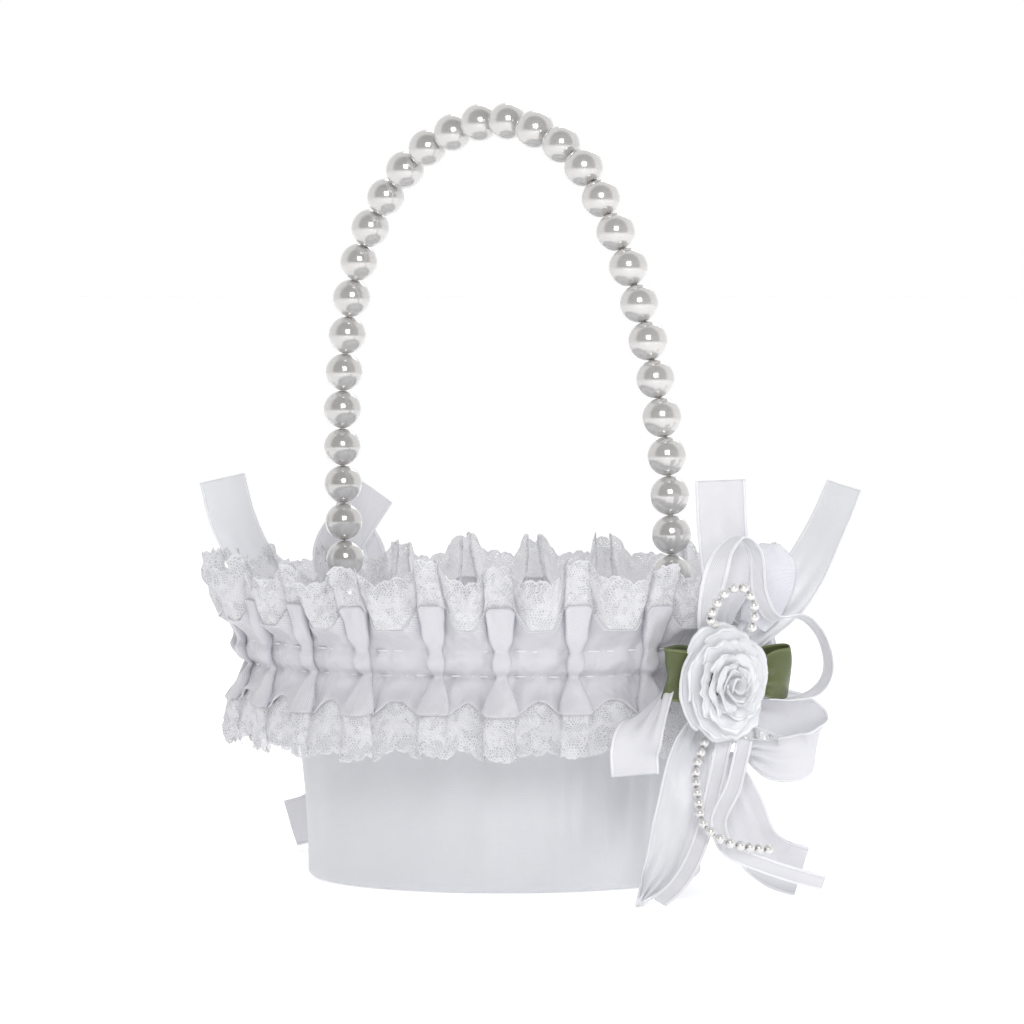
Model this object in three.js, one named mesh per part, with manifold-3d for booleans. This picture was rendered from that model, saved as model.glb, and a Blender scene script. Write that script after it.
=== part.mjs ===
// Flower girl basket: a small satin-covered tub with a pleated satin and lace
// trim, an arched handle of pearl beads on a wire, and a ribbon bow with a
// fabric rose at each foot of the handle.
// Millimetres, +Z up. The origin is the middle of the base, on the surface the
// basket stands on. The handle spans along X, with the front bow at +X.
import * as THREE from 'three';
import { mergeVertices } from 'three/addons/utils/BufferGeometryUtils.js';
import Module from 'manifold-3d';

const wasm = await Module();
wasm.setup();

// ---- Driving dimensions ----
const GAP = 0.3;                // clearance between touching pieces
const SATIN = 0.6;              // glued satin cover, with its interlining
const BASE_R = 39.8;            // outer radius of the tub at the base
const TUB_FLARE = 0.00248;      // tub radius grows by this times height squared
const TUB_H = 50.5;             // height of the tub's rim
const BOARD = 3.2;              // foam wall thickness
const BASE_BOARD = 2;           // base board thickness
const WIRE_D = 1;               // handle wire
const WIRE_HOLE_D = 1.7;        // hole that it sits in, in the foam wall
const WIRE_FOOT_Z = 24;         // how far down the wall the wire reaches
const BEADS = 32;
const BEAD_D = 7.6;
const BEAD_BORE_D = 2;
const PLEATS = 23;              // box pleats round the trim
const PLEAT_RISE = 3.2;         // how far a pleat column stands out
const PLEAT_HALF = 2.6;         // half width of a pleat column
const RIBBON_W = 10;            // wide satin bow ribbon
const NARROW_W = 3.2;           // narrow satin bow ribbon
const RIBBON_T = 0.4;
const STRAND_D = 2;             // small pearl strand in the bows
const LEAF_W = 8.4;             // green leaf ribbon
const PETAL_W = 11;             // sheer petal behind the front rose
const ROSE_R = 9.6;
const ROSE_H = 8;

const tubRadius = (z) => BASE_R + TUB_FLARE * z * z;
const FOAM_OUTSIDE = SATIN + GAP;
const FOAM_INSIDE = FOAM_OUTSIDE + BOARD;
const LINING_OUTSIDE = FOAM_INSIDE + GAP;
const LINING_INSIDE = LINING_OUTSIDE + SATIN;

// ---- Materials ----
const finish = (color, roughness, metalness = 0) =>
  new THREE.MeshStandardMaterial({ color, roughness, metalness });
const satin = finish('#d6d7dc', 0.45);
const satinTrim = finish('#cfcfd6', 0.35);
const lace = finish('#dcdce2', 0.8);
const board = finish('#b9b2a4', 0.9);
const foam = finish('#efeee8', 0.95);
const steel = finish('#b4b4b8', 0.3, 1);
const pearl = finish('#c9c5c2', 0.15);
const leafSatin = finish('#7f8b58', 0.4);
const thread = finish('#e4e2df', 0.7);

// ---- Builders ----
const object = new THREE.Group();

function addMesh(name, geometry, material, parent = object) {
  const piece = new THREE.Mesh(facingOut(geometry), material);
  piece.name = name;
  parent.add(piece);
  return piece;
}

// Merges the shared vertices and turns the faces outwards.
function facingOut(geometry) {
  geometry.deleteAttribute('normal');
  geometry.deleteAttribute('uv');
  const solid = mergeVertices(geometry, 1e-4);
  const at = solid.attributes.position;
  const faces = solid.index.array;
  const [a, b, c] = [new THREE.Vector3(), new THREE.Vector3(), new THREE.Vector3()];
  let volume = 0;
  for (let i = 0; i < faces.length; i += 3) {
    a.fromBufferAttribute(at, faces[i]);
    b.fromBufferAttribute(at, faces[i + 1]);
    c.fromBufferAttribute(at, faces[i + 2]);
    volume += a.dot(b.cross(c));
  }
  if (volume < 0) {
    faces.reverse();
  }
  return solid;
}

// A ring or disc turned about Z from a profile of [radius, z] points.
function turned(profile, segments) {
  const points = profile.map(([radius, z]) => new THREE.Vector2(radius, z));
  return new THREE.LatheGeometry(points, segments).rotateX(Math.PI / 2);
}

// Moves every vertex of a turned shape along its own radius.
function pushOut(geometry, push) {
  const at = geometry.attributes.position;
  for (let i = 0; i < at.count; i += 1) {
    const radius = Math.hypot(at.getX(i), at.getY(i));
    const angle = Math.atan2(at.getY(i), at.getX(i));
    const [dr, dz] = push(angle, radius, at.getZ(i));
    const scale = radius > 0 ? (radius + dr) / radius : 1;
    at.setXYZ(i, at.getX(i) * scale, at.getY(i) * scale, at.getZ(i) + dz);
  }
  return geometry;
}

// A flat strip bent along a route. Each stop is [point, direction across the
// strip, share of the full width].
function strip(route, width, thickness, steps) {
  const path = new THREE.CatmullRomCurve3(route.map(([p]) => new THREE.Vector3(...p)), false,
    'centripetal');
  const side = route.map(([, across]) => new THREE.Vector3(...across));
  const stopAt = stopParameters(route.length);
  const geometry = new THREE.BoxGeometry(width, thickness, 1, 2, 1, steps);
  const at = geometry.attributes.position;
  const point = new THREE.Vector3();
  for (let i = 0; i < at.count; i += 1) {
    const t = THREE.MathUtils.clamp(at.getZ(i) + 0.5, 0, 1);
    const { index, mix } = stopAt(t);
    const along = path.getTangent(t);
    const across = side[index].clone().lerp(side[index + 1], mix);
    across.addScaledVector(along, -across.dot(along)).normalize();
    const outward = new THREE.Vector3().crossVectors(along, across);
    const share = THREE.MathUtils.lerp(route[index][2], route[index + 1][2], mix);
    point.copy(path.getPoint(t));
    point.addScaledVector(across, at.getX(i) * share).addScaledVector(outward, at.getY(i));
    at.setXYZ(i, point.x, point.y, point.z);
  }
  return geometry;
}

function stopParameters(count) {
  return (t) => {
    const index = Math.min(Math.floor(t * (count - 1)), count - 2);
    return { index, mix: t * (count - 1) - index };
  };
}

// A round tube along a smooth curve.
function tube(curve, diameter, sides, steps) {
  const section = new THREE.Shape();
  for (let i = 0; i < sides; i += 1) {
    const angle = (2 * Math.PI * i) / sides;
    const [x, y] = [Math.cos(angle) * diameter / 2, Math.sin(angle) * diameter / 2];
    if (i === 0) section.moveTo(x, y);
    else section.lineTo(x, y);
  }
  section.closePath();
  return new THREE.ExtrudeGeometry(section, { steps, extrudePath: curve, bevelEnabled: false });
}

const curveThrough = (points) =>
  new THREE.CatmullRomCurve3(points.map((p) => new THREE.Vector3(...p)), false, 'centripetal');

// Cuts one closed shape out of another.
function cut(geometry, ...tools) {
  const toSolid = (source) => {
    const merged = facingOut(source);
    return new wasm.Manifold(new wasm.Mesh({
      numProp: 3,
      vertProperties: merged.attributes.position.array,
      triVerts: Uint32Array.from(merged.index.array),
    }));
  };
  const mesh = tools.reduce((rest, tool) => rest.subtract(toSolid(tool)), toSolid(geometry)).getMesh();
  const result = new THREE.BufferGeometry();
  result.setAttribute('position', new THREE.BufferAttribute(mesh.vertProperties, 3));
  result.setIndex(new THREE.BufferAttribute(mesh.triVerts, 1));
  return result;
}

// ---- Tub: foam wall and base board in a sewn satin cover, with a satin lining ----
const TUB_SEGMENTS = 40;
const WALL_LEVELS = [0, 0.5, 1];
const EDGE = 1;                 // softness of the tub's bottom edge

// The outline of a wall layer, from low to high, set in from the tub's surface.
const wallLine = (zLow, zHigh, inset) => WALL_LEVELS.map((share) => {
  const z = zLow + share * (zHigh - zLow);
  return [tubRadius(z) - inset, z];
});

const WALL_LOW = SATIN + GAP;
const BASE_TOP = WALL_LOW + BASE_BOARD;
const FOAM_TOP = TUB_H - SATIN - GAP;

function buildTub() {
  // The cover is one closed cup that turns inwards over the foam, up to the wire.
  const lip = tubRadius(TUB_H) - FOAM_OUTSIDE - BOARD / 2 + WIRE_HOLE_D / 2;
  const cup = [[0, 0], [BASE_R - EDGE, 0], ...wallLine(EDGE, TUB_H, 0), [lip, TUB_H],
    [lip, TUB_H - SATIN], ...wallLine(SATIN, TUB_H - SATIN, SATIN).reverse(), [0, SATIN]];
  addMesh('outer_satin_cover', turned(cup, TUB_SEGMENTS), satin);

  const boardR = BASE_R - FOAM_INSIDE - GAP;
  const disc = [[0, WALL_LOW], [boardR, WALL_LOW], [boardR, BASE_TOP], [0, BASE_TOP]];
  addMesh('base_board', turned(disc, TUB_SEGMENTS), board);

  const foamLine = [...wallLine(WALL_LOW, FOAM_TOP, FOAM_OUTSIDE),
    ...wallLine(WALL_LOW, FOAM_TOP, FOAM_INSIDE).reverse()];
  const foamWall = turned([...foamLine, foamLine[0]], TUB_SEGMENTS);
  const holes = [-1, 1].map((side) => tube(wireLeg(side), WIRE_HOLE_D, 8, 2));
  addMesh('foam_wall', cut(foamWall, ...holes), foam);

  const floorZ = BASE_TOP + GAP;
  const liningCup = [[0, floorZ], ...wallLine(floorZ, TUB_H, LINING_OUTSIDE),
    ...wallLine(floorZ + SATIN, TUB_H, LINING_INSIDE).reverse(), [0, floorZ + SATIN]];
  addMesh('satin_lining', turned(liningCup, TUB_SEGMENTS), satin);
}

// ---- Handle: a wire arch with its feet in the foam wall, threaded with beads ----
const WIRE_INSET = FOAM_OUTSIDE + BOARD / 2;
const legX = (z) => tubRadius(z) - WIRE_INSET;

// The arch above the tub, left to right: hand bent, so the left shoulder is
// squarer than the right.
const ARCH = [
  [-44.2, 54.8], [-45.3, 62], [-45.9, 78], [-46.1, 93], [-44.7, 108.5], [-41.5, 123.5],
  [-34.3, 136.5], [-23, 146.6], [-9.6, 151.8], [-2, 152.6], [6, 151.5], [19.4, 145], [28.5, 133],
  [35.4, 118.7], [40.2, 103.3], [43.6, 87.4], [45, 72], [45.1, 62], [44.2, 54.8],
];

// One buried leg of the wire, and a little beyond its foot and above the foam.
function wireLeg(side) {
  const levels = [WIRE_FOOT_Z - 1, WIRE_FOOT_Z + 8, WIRE_FOOT_Z + 16, FOAM_TOP + 2];
  return curveThrough(levels.map((z) => [side * legX(z), 0, z]));
}

function buildHandle() {
  const buried = [WIRE_FOOT_Z, WIRE_FOOT_Z + 8, WIRE_FOOT_Z + 16, FOAM_TOP];
  const left = buried.map((z) => [-legX(z), 0, z]);
  const right = buried.map((z) => [legX(z), 0, z]).reverse();
  const arch = ARCH.map(([x, z]) => [x, 0, z]);
  addMesh('handle_wire', tube(curveThrough([...left, ...arch, ...right]), WIRE_D, 8, 56), steel);

  const strung = curveThrough(arch);
  const bead = beadGeometry();
  for (let i = 0; i < BEADS; i += 1) {
    const share = i / (BEADS - 1);
    const piece = addMesh(`bead_${String(i + 1).padStart(2, '0')}`, bead.clone(), pearl);
    const along = strung.getTangentAt(share);
    piece.position.copy(strung.getPointAt(share));
    piece.quaternion.setFromUnitVectors(new THREE.Vector3(0, 0, 1), along);
  }
}

function beadGeometry() {
  const radius = BEAD_D / 2;
  const reach = Math.acos(BEAD_BORE_D / BEAD_D);
  const arcPoints = 6;
  const profile = [];
  for (let i = 0; i < arcPoints; i += 1) {
    const angle = -reach + (2 * reach * i) / (arcPoints - 1);
    profile.push([radius * Math.cos(angle), radius * Math.sin(angle)]);
  }
  return turned([...profile, profile[0]], 8);
}

// ---- Trim: one box-pleated band of satin ribbon with lace sewn to both edges ----
// How much of a pleat column there is at an angle, from 0 to 1.
function pleatShare(angle, radius) {
  const turns = (angle / (2 * Math.PI)) * PLEATS;
  const fromColumn = Math.abs(turns - Math.round(turns)) * ((2 * Math.PI * radius) / PLEATS);
  return THREE.MathUtils.smoothstep(PLEAT_HALF - fromColumn, 0, PLEAT_HALF);
}

function buildTrim() {
  const samples = PLEATS * 5;
  const raisePleats = (angle, radius) => [PLEAT_RISE * pleatShare(angle, radius), 0];

  // The satin is stitched down in the middle and flares above and below.
  const outer = [[53.2, 38.2], [47.4, 43.6], [47.4, 48.5], [56.4, 54.2]];
  const inner = [[55.8, 55.0], [46.4, 49.3], [46.3, 43], [52.4, 37.6]];
  addMesh('satin_ruffle', pushOut(turned([...outer, ...inner, outer[0]], samples), raisePleats),
    satinTrim);

  // The lace carries the same folds on, and its free edges are scalloped.
  const scallop = (angle) => 0.5 + 0.5 * Math.cos(angle * PLEATS);
  const upper = [[56.9, 55.0], [59.0, 60.0], [59.2, 63.4], [58.6, 63.4], [58.3, 60], [56.2, 55.6]];
  addMesh('upper_lace', pushOut(turned([...upper, upper[0]], samples), (angle, radius, z) =>
    [0.6 * PLEAT_RISE * pleatShare(angle, radius), z > 61 ? 2.2 * scallop(angle) - 1.4 : 0]), lace);

  const lower = [[53.0, 37.0], [52.6, 31], [52.2, 25.4], [51.6, 25.4], [52.0, 31], [52.4, 37.0]];
  addMesh('lower_lace', pushOut(turned([...lower, lower[0]], samples), (angle, radius, z) =>
    [0.8 * PLEAT_RISE * pleatShare(angle, radius), z < 28 ? -1.6 * scallop(angle) : 0]), lace);
}

// ---- Bows ----
// A bow is laid out at +X: x outwards from the tub's axis, y round it, z up.
// The back bow is the same bow turned nearly half way round, with its own tails.
const ROUND = [0, 1, 0];        // across a strip, round the tub
const UPRIGHT = [0, 0, 1];
const FACING = [0.6, 0.8, 0];   // across a strip that faces out and round to -Y

const BACK_TURN = 0.245;        // the back bow stops short of half a turn by this angle

const KNOT = {
  glue: [51.2, -0.5, 45.9],
  rose: [61.4, -6, 42],
  roseTurn: -0.24,              // the rose faces a little round to -Y
};

// Straight tail up, through the knot, and a short twisted tail down to -Y.
const uprightTail = [
  [[60.2, -2.7, 81.5], FACING, 1], [[60.8, -2.7, 71], FACING, 1], [[61.9, -2.6, 62], FACING, 1],
];
const uprightRest = [
  [[60, -2, 55], ROUND, 0.8], [[55.4, -0.8, 47.6], [0.2, 0.9, 0.4], 0.25],
  [[55, -5.4, 43.4], [0.2, 0.6, 0.8], 0.25],
  [[56.4, -13, 41.2], [0.5, 0.2, 0.84], 0.55], [[57.4, -20.5, 35.4], [0.9, 0.3, 0.3], 0.8],
  [[56.4, -23.4, 30], [0.5, 0.86, 0.1], 1], [[56.2, -23.2, 24.6], [0.42, 0.9, 0.15], 1],
];

// Leaning tail up, through the knot, and the glossy tail that lies on the table.
const leaningTail = [
  [[71, 22.6, 80], [0.95, -0.15, -0.26], 1], [[68.6, 18.6, 70], [0.92, -0.05, -0.3], 1],
  [[65.4, 13, 59.5], [0.8, 0.45, -0.35], 0.9],
];
const leaningRest = [
  [[61.2, 6.5, 51.5], [0.4, 0.8, -0.45], 0.7], [[57, 0, 43], ROUND, 0.5],
  [[57.4, -5, 35], ROUND, 0.6], [[59, -10.5, 26.5], FACING, 0.85],
  [[60, -14.5, 17], [0.62, 0.7, -0.3], 0.95], [[61.5, -19.5, 9], [0.62, 0.6, -0.45], 0.85],
  [[63, -25.6, 3.8], [0.62, 0.6, -0.49], 0.5], [[64.4, -31, 0.9], [0.62, 0.6, -0.49], 0.12],
];

// Loop out to +Y, back through the knot, and a tail whose lower edge rests on the table.
const looped = [
  [[58.2, 1.6, 40.5], [0, 0.5, 0.86], 0.5], [[61.6, 8, 36.6], UPRIGHT, 0.85],
  [[65.6, 14, 34.4], [0.15, -0.1, 1], 1], [[68.8, 16.6, 31.4], [0.35, -0.25, 0.9], 1],
  [[69.4, 13.6, 27.6], [0.3, 0, 0.95], 1], [[66.4, 7.4, 26.4], [0.2, 0.3, 0.93], 0.85],
  [[63, 2.6, 28], [0.5, 0.6, 0.6], 0.4], [[62.2, -1.5, 24.6], [0.66, 0.7, 0.25], 0.6],
  [[64, -0.8, 17.6], [0.68, 0.66, 0.3], 0.9], [[66.6, 0.9, 9.8], [0.64, 0.6, 0.45], 0.95],
  [[69.8, 3.6, 6.4], [0.58, 0.54, 0.61], 1], [[73.2, 6.8, 4.9], [0.58, 0.54, 0.61], 1],
];

// Narrow ribbon: a tall loop, then a loop out to +Y.
const narrow = [
  [[58.6, -3, 46], ROUND, 1], [[61, -7.6, 53], [0.4, 0.9, 0], 1],
  [[63.6, -8.6, 61.5], [0.7, 0.7, 0], 1], [[65, -6.8, 68], [0.95, 0.2, 0.2], 1],
  [[66, -3.4, 70.6], [1, 0, 0], 1], [[66.8, 0.2, 67.6], [1, 0.1, 0], 1],
  [[66.6, 1.8, 59.5], [0.9, 0.4, 0], 1], [[67.2, 5, 54.6], [0.95, 0.1, 0.3], 1],
  [[69, 11.4, 54.6], [0.95, 0, 0.2], 1], [[69.4, 17, 50.6], [0.95, -0.2, 0], 1],
  [[70.6, 18, 44], [0.95, -0.2, 0], 1], [[69.8, 15.4, 39.8], [0.95, -0.1, -0.2], 1],
  [[67, 10.4, 38.2], [0.95, -0.1, 0], 1], [[64.6, 6, 38.4], [0.95, -0.1, 0], 1],
];
const narrowTail = [
  [[63.4, -5, 31], FACING, 1], [[64.2, -9, 22], FACING, 1], [[64.8, -12.6, 13.9], FACING, 1],
  [[66, -18, 7.4], [0.62, 0.7, -0.2], 1], [[67.4, -24, 3.6], [0.66, 0.66, -0.35], 1],
  [[68.6, -30, 1.4], [0.66, 0.66, -0.35], 1],
];
const crossingTail = [
  [[66.4, -2.4, 31], FACING, 1], [[67.6, -7.2, 22], FACING, 1],
  [[68, -12, 15.5], [0.62, 0.7, 0.2], 1], [[69.6, -11.4, 10.6], [0.5, 0.4, 0.75], 1],
  [[73, -4.6, 7], [0.38, 0.35, 0.85], 1], [[76.4, 2.4, 4.4], [0.38, 0.35, 0.85], 1],
  [[78.6, 7, 3], [0.38, 0.35, 0.85], 1],
];

// Pearl strand: a small loop above the rose, and a tail below it.
const strandLoop = [
  [60.4, -1.6, 46.4], [61, -2, 49.2], [63, -6.4, 52.8], [64.8, -11, 55.2], [68, -9.6, 60.2],
  [69.4, -6.8, 61], [70, -4.4, 58.4], [69.8, -3.6, 55], [69, -3.4, 53],
];
const strandTail = [
  [61.6, -9, 30.4], [62.4, -12.4, 25.4], [65, -14.6, 20], [67.6, -16, 15.4], [71, -14, 12.2],
  [73, -9.4, 10.8], [74.2, -4.4, 10],
];

const leaf = [
  [[59.8, -18.6, 48], [0.3, 0, 1], 0.5], [[58.9, -13.6, 46.8], UPRIGHT, 1],
  [[59.2, -8, 43.4], UPRIGHT, 1], [[60, -4.4, 41.4], UPRIGHT, 1], [[61.4, 3, 42.6], UPRIGHT, 0.9],
  [[63.6, 8, 46.4], [0, -0.4, 0.9], 1], [[66, 13.6, 47.4], [0.2, -0.4, 0.9], 1],
  [[66.4, 16.6, 47.4], [0.1, -0.4, 0.9], 0.6],
];
const petal = [
  [[62.8, 4.2, 52.8], FACING, 0.5], [[63.4, 6.6, 57.4], FACING, 0.8], [[63.8, 7.8, 62.4], FACING, 1],
  [[64.2, 7.6, 67], FACING, 0.8], [[64.4, 7.8, 68.6], FACING, 0.4],
];

function buildBow(name, routes) {
  const bow = new THREE.Group();
  object.add(bow);
  const add = (part, geometry, material) => addMesh(`${name}_${part}`, geometry, material, bow);

  const glue = turned([[0, 0], [2.5, 0], [2, 2.4], [0, 2.8]], 12).rotateY(Math.PI / 2);
  add('glue_pad', glue.translate(...KNOT.glue), thread);
  add('upright_ribbon', strip([...routes.uprightTail, ...uprightRest], RIBBON_W, RIBBON_T, 60),
    satinTrim);
  add('leaning_ribbon', strip([...routes.leaningTail, ...leaningRest], RIBBON_W, RIBBON_T, 60),
    satinTrim);
  add('looped_ribbon', strip(looped, RIBBON_W, RIBBON_T, 72), satinTrim);
  add('narrow_ribbon', strip(narrow, NARROW_W, RIBBON_T, 60), satinTrim);
  add('pearl_strand', tube(curveThrough(strandLoop), STRAND_D, 8, 10), pearl);
  add('leaf_ribbon', strip(leaf, LEAF_W, RIBBON_T, 28), leafSatin);

  const rose = add('rose', roseGeometry(), satinTrim);
  rose.position.set(...KNOT.rose);
  rose.rotation.set(0, Math.PI / 2, KNOT.roseTurn, 'ZYX');
  return { bow, add };
}

// A domed rose with the edges of its petals as shallow lobes.
function roseGeometry() {
  const petals = 5;
  const lobe = 0.5;
  const dome = [[0, 0], [0.78, 0], [1, 0.28], [0.95, 0.6], [0.72, 0.9], [0.4, 0.88], [0.3, 1],
    [0, 0.94]];
  const profile = dome.map(([r, z]) => [r * ROSE_R, z * ROSE_H]);
  return pushOut(turned(profile, 20), (angle, radius) =>
    [radius > 0.6 * ROSE_R ? lobe * (Math.cos(angle * petals) - 1) : 0, 0]);
}

function buildBows() {
  const { add } = buildBow('front', { uprightTail, leaningTail });
  add('organza_petal', strip(petal, PETAL_W, RIBBON_T, 10), satinTrim);
  add('narrow_tail', strip(narrowTail, NARROW_W, RIBBON_T, 20), satinTrim);
  add('crossing_tail', strip(crossingTail, NARROW_W, RIBBON_T, 20), satinTrim);
  add('strand_tail', tube(curveThrough(strandTail), STRAND_D, 8, 12), pearl);

  const { bow } = buildBow('back', { uprightTail: backUprightTail, leaningTail: backLeaningTail });
  bow.rotation.z = Math.PI - BACK_TURN;
}

// The back bow's tails lean further round.
const backUprightTail = [
  [[62.2, -7.2, 76], [0.28, 0.95, 0.3], 1], [[62.3, -2, 69], [0.28, 0.9, 0.4], 1],
  [[62, 2.5, 61.5], [0.2, 0.9, 0.4], 1],
];
const backLeaningTail = [
  [[65.1, 28.1, 79], [0.2, 0.9, -0.3], 1], [[63, 26.6, 70], [0.2, 0.9, -0.3], 1],
  [[61.5, 21.4, 60.6], [0.2, 0.9, -0.4], 0.9],
];

buildTub();
buildHandle();
buildTrim();
buildBows();

export default object;
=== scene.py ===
"""Looks of the flower girl basket: satin tub, pleated satin and lace trim, pearl handle, bows.

Lengths in this script are millimetres in the frame's axes. make_mesh() turns them into metres.
"""

import math

import bpy
import numpy as np
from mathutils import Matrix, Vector


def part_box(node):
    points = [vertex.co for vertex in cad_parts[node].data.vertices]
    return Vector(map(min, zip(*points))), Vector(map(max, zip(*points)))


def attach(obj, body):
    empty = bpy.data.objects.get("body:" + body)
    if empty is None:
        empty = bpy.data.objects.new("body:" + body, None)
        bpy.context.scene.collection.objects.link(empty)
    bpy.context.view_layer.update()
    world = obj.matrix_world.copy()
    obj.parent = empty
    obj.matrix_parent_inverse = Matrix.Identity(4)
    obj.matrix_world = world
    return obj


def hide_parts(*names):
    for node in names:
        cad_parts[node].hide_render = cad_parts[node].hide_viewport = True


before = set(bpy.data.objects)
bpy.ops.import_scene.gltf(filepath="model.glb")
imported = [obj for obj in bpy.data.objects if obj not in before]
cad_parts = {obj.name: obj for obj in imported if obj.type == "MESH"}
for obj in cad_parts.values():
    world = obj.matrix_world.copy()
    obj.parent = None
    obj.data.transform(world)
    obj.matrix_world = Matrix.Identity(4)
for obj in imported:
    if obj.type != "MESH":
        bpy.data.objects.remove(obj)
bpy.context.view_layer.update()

MM = 0.001
UP = np.array([0.0, 0.0, 1.0])
rng = np.random.default_rng(7)


# ---- Camera ----
CAMERA_AZIMUTH = 43
CAMERA_DISTANCE = 1250
CAMERA_HEIGHT = 125
CAMERA_LENS = 217
CAMERA_SENSOR = 36
AIM = (1.1, 1.0, 73.5)


def make_camera():
    turn = math.radians(CAMERA_AZIMUTH)
    place = Vector((math.sin(turn) * CAMERA_DISTANCE, -math.cos(turn) * CAMERA_DISTANCE,
                    CAMERA_HEIGHT))
    data = bpy.data.cameras.new("camera")
    data.lens = CAMERA_LENS
    data.sensor_width = CAMERA_SENSOR
    data.clip_start = 0.01
    data.clip_end = 20
    camera = bpy.data.objects.new("camera", data)
    camera.location = place * MM
    camera.rotation_euler = (Vector(AIM) - place).to_track_quat("-Z", "Y").to_euler()
    bpy.context.scene.collection.objects.link(camera)
    bpy.context.scene.camera = camera


make_camera()


# ---- Curves and meshes ----
CRUMPLE_WAVES = 9
NO_SELVAGE = 9                 # a distance too far from a woven edge to show


def smooth(points, count):
    """Evenly spaced points on a centripetal Catmull-Rom curve through points of any width."""
    p = np.asarray(points, float)
    p = np.vstack([2 * p[0] - p[1], p, 2 * p[-1] - p[-2]])
    knots = np.concatenate([[0], np.cumsum(np.linalg.norm(np.diff(p[:, :3], axis=0), axis=1) ** 0.5)])
    dense = []
    for i in range(1, len(p) - 2):
        t = np.linspace(knots[i], knots[i + 1], 24, endpoint=False)[:, None]
        k0, k1, k2, k3 = knots[i - 1:i + 3]
        a1 = (k1 - t) / (k1 - k0) * p[i - 1] + (t - k0) / (k1 - k0) * p[i]
        a2 = (k2 - t) / (k2 - k1) * p[i] + (t - k1) / (k2 - k1) * p[i + 1]
        a3 = (k3 - t) / (k3 - k2) * p[i + 1] + (t - k2) / (k3 - k2) * p[i + 2]
        b1 = (k2 - t) / (k2 - k0) * a1 + (t - k0) / (k2 - k0) * a2
        b2 = (k3 - t) / (k3 - k1) * a2 + (t - k1) / (k3 - k1) * a3
        dense.append((k2 - t) / (k2 - k1) * b1 + (t - k1) / (k2 - k1) * b2)
    dense = np.vstack([*dense, p[-2:-1]])
    return resample(dense, count)


def resample(line, count):
    """The same line at evenly spaced distances, measured on its first three columns."""
    run = run_of(line[:, :3])
    at = np.linspace(0, run[-1], count)
    return np.stack([np.interp(at, run, line[:, i]) for i in range(line.shape[1])], axis=1)


def run_of(line):
    """Distance along a line at each of its points."""
    return np.concatenate([[0], np.cumsum(np.linalg.norm(np.diff(line, axis=0), axis=1))])


def unit(v):
    return v / np.maximum(np.linalg.norm(v, axis=-1, keepdims=True), 1e-9)


def cross_axes(along, off):
    """Two directions square to a line, found from one that it doesn't run along."""
    side = unit(np.cross(along, off))
    return side, np.cross(along, side)


def make_mesh(name, points, faces, material, cloth=None):
    """A smooth-shaded object from points in mm.

    cloth is each point's place on the flat cloth in mm, and its distance from a woven edge if it has one.
    """
    mesh = bpy.data.meshes.new(name)
    mesh.from_pydata((np.asarray(points, float) * MM).tolist(), [], [list(f) for f in faces])
    mesh.validate()
    mesh.polygons.foreach_set("use_smooth", [True] * len(mesh.polygons))
    if cloth is not None:
        layer = mesh.attributes.new("cloth", "FLOAT_VECTOR", "POINT")
        flat = np.full((len(points), 3), NO_SELVAGE, np.float32)
        flat[:, :cloth.shape[1]] = cloth
        layer.data.foreach_set("vector", flat.ravel())
    mesh.materials.append(material)
    piece = bpy.data.objects.new(name, mesh)
    bpy.context.scene.collection.objects.link(piece)
    return piece


def grid_faces(rows, columns, closed=False, start=0):
    """Faces of a grid of points stored row by row. closed joins each row's end to its beginning."""
    faces = []
    for i in range(rows - 1):
        for j in range(columns if closed else columns - 1):
            k = (j + 1) % columns
            faces.append((start + i * columns + j, start + i * columns + k,
                          start + (i + 1) * columns + k, start + (i + 1) * columns + j))
    return faces


def grid(name, points, material, cloth):
    """A sheet from an array of points, rows by columns by 3."""
    rows, columns = points.shape[:2]
    flat = cloth.reshape(rows * columns, -1)
    return make_mesh(name, points.reshape(-1, 3), grid_faces(rows, columns), material, flat)


def thicken(piece, thickness):
    solid = piece.modifiers.new("thickness", "SOLIDIFY")
    solid.thickness = thickness * MM
    solid.offset = 0.0
    solid.use_even_offset = False


def place(piece, slot, *nodes):
    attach(piece, "root")
    if nodes:
        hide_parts(*nodes)
    return piece


def crumple(x, y, size, seed):
    """Random smooth creases of about that size in mm, from about -1 to 1."""
    draw = np.random.default_rng(seed)
    total = 0
    for _ in range(CRUMPLE_WAVES):
        kx, ky = draw.normal(0, 1, 2) * 2 * math.pi / size
        total = total + np.sin(kx * x + ky * y + draw.uniform(0, 2 * math.pi))
    return total / math.sqrt(CRUMPLE_WAVES)


# ---- Materials ----
WHITE = (1, 1, 1, 1)


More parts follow.
